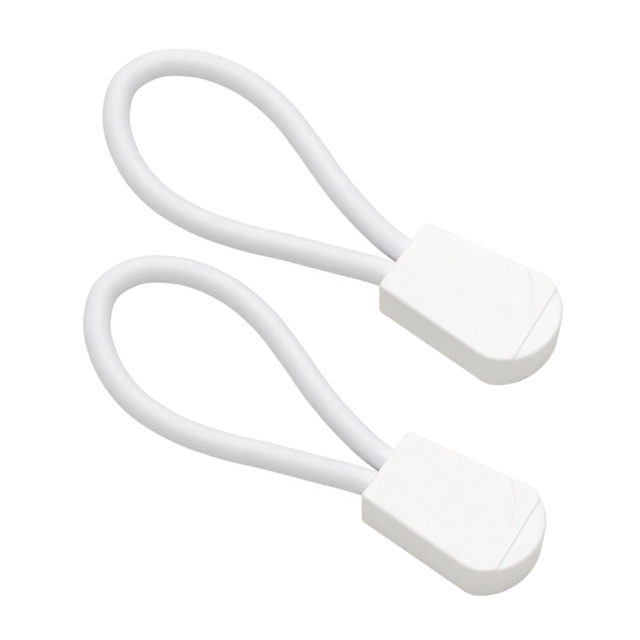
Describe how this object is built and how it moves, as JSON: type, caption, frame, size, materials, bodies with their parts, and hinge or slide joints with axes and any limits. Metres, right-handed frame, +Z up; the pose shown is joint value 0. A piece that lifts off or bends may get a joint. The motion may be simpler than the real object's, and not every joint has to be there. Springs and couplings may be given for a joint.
{
  "type": "cord zipper pull pair",
  "caption": "Elastic cord loops, each moulded into a flat plastic tab with a rounded tip and a raised crescent grip, laid side by side.",
  "frame": {"origin": "bottom centre of the box round the two tabs, on the surface that the pair lies on", "axes": "+X from the cord loop towards the tab's tip, +Y across the pulls towards the rear one, +Z up"},
  "size_m": [0.0713, 0.0432, 0.006],
  "materials": {
    "tab_plastic": "satin moulded",
    "cord_braid": "tight round braid",
    "core_rubber": "matt",
    "fused_cord": "melted"
  },
  "bodies": {
    "rear_pull": {"rear_tab": "tab_plastic", "rear_cord_legs": "cord_braid", "rear_core_legs": "core_rubber", "rear_fused_end": "fused_cord"},
    "rear_loop": {"rear_cord_loop": "cord_braid", "rear_core_loop": "core_rubber"},
    "front_pull": {"front_tab": "tab_plastic", "front_cord_legs": "cord_braid", "front_core_legs": "core_rubber", "front_fused_end": "fused_cord"},
    "front_loop": {"front_cord_loop": "cord_braid", "front_core_loop": "core_rubber"}
  },
  "joints": [
    {"name": "rear_loop_bend", "type": "hinge", "parent": "rear_pull", "child": "rear_loop", "pos_m": [-0.0179, 0.0114, 0.0029], "axis": [0, 1, 0], "range_deg": [0, 90], "stiffness_Nm_per_rad": 0.002},
    {"name": "front_pull_lift", "type": "slide", "parent": "rear_pull", "child": "front_pull", "axis": [0, 0, 1], "range_m": [0, 0.06]},
    {"name": "front_loop_bend", "type": "hinge", "parent": "front_pull", "child": "front_loop", "pos_m": [-0.0055, -0.0114, 0.0029], "axis": [0, 1, 0], "range_deg": [0, 90], "stiffness_Nm_per_rad": 0.002}
  ]
}
